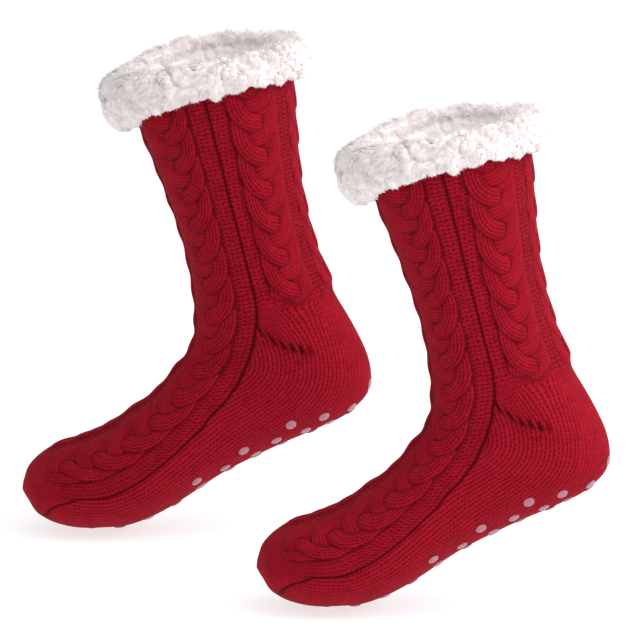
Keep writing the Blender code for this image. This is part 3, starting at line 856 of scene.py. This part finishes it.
def red_yarn():
    material, shader = new_material("red_yarn")
    link = material.node_tree.links.new
    m = functools.partial(math_node, material)
    uv = node(material, "ShaderNodeUVMap", uv_map="stitches")
    parts = node(material, "ShaderNodeSeparateXYZ")
    link(uv.outputs[0], parts.inputs[0])
    plain, painted_shade, faint, holes = (attribute(material, name) for name in ("plain", "painted_shade", "faint", "holes"))
    place = node(material, "ShaderNodeTexCoord").outputs["Object"]

    # p is the stitch across and q the stitch along. No stitch lies quite straight.
    off = m("SUBTRACT", noise(material, place, Scale=190.0, Detail=2.0), 0.5)
    p = m("ADD", parts.outputs[0], m("MULTIPLY", off, 0.4))
    q = m("ADD", parts.outputs[1], m("MULTIPLY", off, 1.3))

    # Plain stitch: a pair of legs that meet in a V.
    in_wale = m("ABSOLUTE", m("SUBTRACT", m("FRACT", m("ADD", p, 100.5)), 0.5))
    leg = half_wave(material, m("SUBTRACT", in_wale, 0.25))
    row = half_wave(material, m("ADD", q, m("MULTIPLY", in_wale, -1.3)))
    roll = half_wave(material, p, 0.6)
    between = m("MULTIPLY", m("SUBTRACT", 1.0, roll), m("SUBTRACT", 1.0, m("MULTIPLY", row, 0.5)))
    legs = m("ADD", 0.74, m("MULTIPLY", m("MULTIPLY", leg, row), 0.3))
    v_stitch = m("SUBTRACT", legs, m("MULTIPLY", between, 0.8))

    # Purl stitch: wavy bars across the knitting.
    wave = m("MULTIPLY", m("SINE", m("MULTIPLY", p, math.tau * 0.6)), 0.14)
    bars = half_wave(material, m("ADD", q, wave), 0.5)
    humps = m("ADD", m("MULTIPLY", m("COSINE", m("MULTIPLY", p, math.tau * 0.9)), 0.35), 0.75)
    purl = m("SUBTRACT", 1.0, m("MULTIPLY", m("SUBTRACT", 1.0, bars), humps))
    stitch = mix(material, m("MULTIPLY", faint, 0.6), mix(material, plain, purl, v_stitch), 0.6)

    # Fuzz on the yarn, broad patches, and a shade of its own for each leg of a stitch.
    fuzz = noise(material, place, Scale=1300.0, Detail=3.0)
    patches = noise(material, place, Scale=90.0, Detail=4.0)
    each = node(material, "ShaderNodeTexWhiteNoise", noise_dimensions="2D")
    cell = node(material, "ShaderNodeCombineXYZ")
    link(m("FLOOR", m("MULTIPLY", p, 2.0)), cell.inputs[0])
    link(m("FLOOR", q), cell.inputs[1])
    link(cell.outputs[0], each.inputs["Vector"])
    shades = m("ADD", m("MULTIPLY", each.outputs["Value"], 0.25), m("MULTIPLY", fuzz, 0.8))
    vary = m("ADD", 0.27, m("ADD", m("MULTIPLY", patches, 0.5), shades))

    # Painted shade in the holes along the slanting line of the heel, one to every second column, and in the hollows.
    every = m("SUBTRACT", m("MULTIPLY", m("COSINE", m("MULTIPLY", p, math.pi)), 2.6), 0.6)
    every.node.use_clamp = True
    hole_shade = m("MULTIPLY", m("MULTIPLY", every, holes), m("ADD", 1.2, off))
    shade_factor = m("SUBTRACT", 1.0, m("MULTIPLY", m("MAXIMUM", painted_shade, hole_shade), 0.8))
    # Painted shade in the gaps between the stitches.
    lit = m("MULTIPLY", shade_factor, m("ADD", 0.28, m("MULTIPLY", stitch, 0.72)))
    lit = m("MULTIPLY", lit, vary)
    lit = m("MULTIPLY", lit, m("ADD", 0.86, m("MULTIPLY", plain, 0.14)))

    set_colour(material, shader, lit, *YARN_AND_SHADE_COLOURS)
    set_bump(material, shader, m("ADD", stitch, m("MULTIPLY", fuzz, 0.35)), strength=0.8, distance=0.0008)
    set_inputs(shader, {
        "Roughness": 0.88, "Specular IOR Level": 0.05,
        "Sheen Weight": 0.05, "Sheen Roughness": 0.5, "Sheen Tint": (1.0, 0.25, 0.32, 1),
    })
    return material


# %% The white fleece
# The fleece's colour on the lumps, and the painted shade it takes deep in the creases.
FLEECE_AND_SHADE_COLOURS = ((0.0, (0.968, 0.89, 0.89)), (1.0, (0.50, 0.38, 0.38)))  # on the lumps, and deep in the creases


def white_fleece():
    material, shader = new_material("white_fleece")
    m = functools.partial(math_node, material)
    place = node(material, "ShaderNodeTexCoord").outputs["Object"]
    curls = noise(material, place, Scale=420.0, Detail=4.0, Distortion=1.2)
    fine = noise(material, place, Scale=1700.0, Detail=3.0)
    # Painted shade in the creases and pits of the pile, broken up by the curls.
    depth = m("MULTIPLY", attribute(material, "gap"), m("ADD", 0.5, curls))
    set_colour(material, shader, depth, *FLEECE_AND_SHADE_COLOURS)
    set_bump(material, shader, m("ADD", curls, m("MULTIPLY", fine, 0.35)), strength=0.45, distance=0.001)
    set_inputs(shader, {
        "Roughness": 0.95, "Specular IOR Level": 0.15, "Sheen Weight": 0.3, "Sheen Roughness": 0.6,
        "Subsurface Weight": 0.35, "Subsurface Radius": (0.004, 0.0035, 0.0033), "Subsurface Scale": 1.0,
    })
    return material


# %% The clear rubber of the dots
# The rubber's colour, and the lighter colour of its painted highlights.
RUBBER_AND_HIGHLIGHT_COLOURS = ((0.3, (0.32, 0.095, 0.135)), (0.7, (0.46, 0.175, 0.22)))


def clear_rubber():
    material, shader = new_material("clear_rubber")
    place = node(material, "ShaderNodeTexCoord").outputs["Object"]
    # Lighter spots at random stand for painted highlights; the same noise gives small bumps.
    spots = noise(material, place, Scale=700.0, Detail=3.0)
    set_colour(material, shader, spots, *RUBBER_AND_HIGHLIGHT_COLOURS)
    set_bump(material, shader, spots, strength=0.25, distance=0.0004)
    set_inputs(shader, {"Roughness": 0.38, "Coat Weight": 0.15})
    return material


RED_YARN, WHITE_FLEECE, CLEAR_RUBBER = red_yarn(), white_fleece(), clear_rubber()
for side, _ in SOCKS:
    knits[side].data.materials.append(RED_YARN)
    linings[side].data.materials.append(WHITE_FLEECE)
    threads[side].data.materials.append(WHITE_FLEECE)
    dots[side].data.materials.append(CLEAR_RUBBER)

# %% [markdown]

# %% [markdown]
# ## Floor, light and camera
# The picture is a plain studio one: white ground, a wide soft light from the upper right, and a very long lens.

# %% Floor
for thing in bpy.context.selected_objects:
    thing.select_set(False)
bpy.ops.mesh.primitive_plane_add(size=8.0, location=(0, 0, CAD_LOW[2] - 0.0006))
floor = bpy.context.object
floor.name = "studio_floor"
paper, paper_shader = new_material("white_paper")
set_inputs(paper_shader, {
    "Base Color": (0.45, 0.45, 0.455, 1), "Roughness": 0.7,
    "Emission Color": (1.0, 1.0, 1.0, 1), "Emission Strength": 0.70,
})
floor.data.materials.append(paper)

# %% Light
world = bpy.data.worlds.new("studio")
bpy.context.scene.world = world
world.use_nodes = True
world.node_tree.nodes["Background"].inputs[0].default_value = (1.0, 1.0, 1.0, 1)
world.node_tree.nodes["Background"].inputs[1].default_value = 0.64
bpy.context.scene.view_settings.view_transform = "Standard"
MIDDLE = (Vector(CAD_LOW) + Vector(CAD_HIGH)) / 2


def soft_light(name, direction, distance, size, power):
    at = MIDDLE + Vector(direction).normalized() * distance
    bpy.ops.object.light_add(type="AREA", location=at)
    light = bpy.context.object
    light.name = name
    light.rotation_euler = (MIDDLE - at).to_track_quat("-Z", "Y").to_euler()
    light.data.size = size
    light.data.energy = power


soft_light("key_light", (1.7, -0.9, 1.15), 1.6, 0.9, 9.8)
soft_light("fill_light", (0.4, -1.5, 0.9), 1.8, 1.2, 2.8)
soft_light("back_light", (1.5, 0.1, 1.1), 1.6, 0.8, 7.5)
soft_light("top_light", (0.5, -0.4, 1.4), 1.5, 0.9, 4.5)

# %% Camera
LOOK_AT = Vector((-0.0897, 0.125, -0.1609))
VIEW_WIDTH = 0.432
ELEVATION = math.radians(12)
SENSOR, LENS = 36, 1600
camera_data = bpy.data.cameras.new("camera")
camera_data.lens = LENS
camera_data.sensor_width = SENSOR
camera = bpy.data.objects.new("camera", camera_data)
bpy.context.scene.collection.objects.link(camera)
back = Vector((0, -math.cos(ELEVATION), math.sin(ELEVATION)))
distance = VIEW_WIDTH / 2 / (SENSOR / 2 / LENS)
camera.location = LOOK_AT + back * distance
camera.rotation_euler = (-back).to_track_quat("-Z", "Y").to_euler()
camera_data.clip_start, camera_data.clip_end = distance - 2, distance + 6
bpy.context.scene.camera = camera
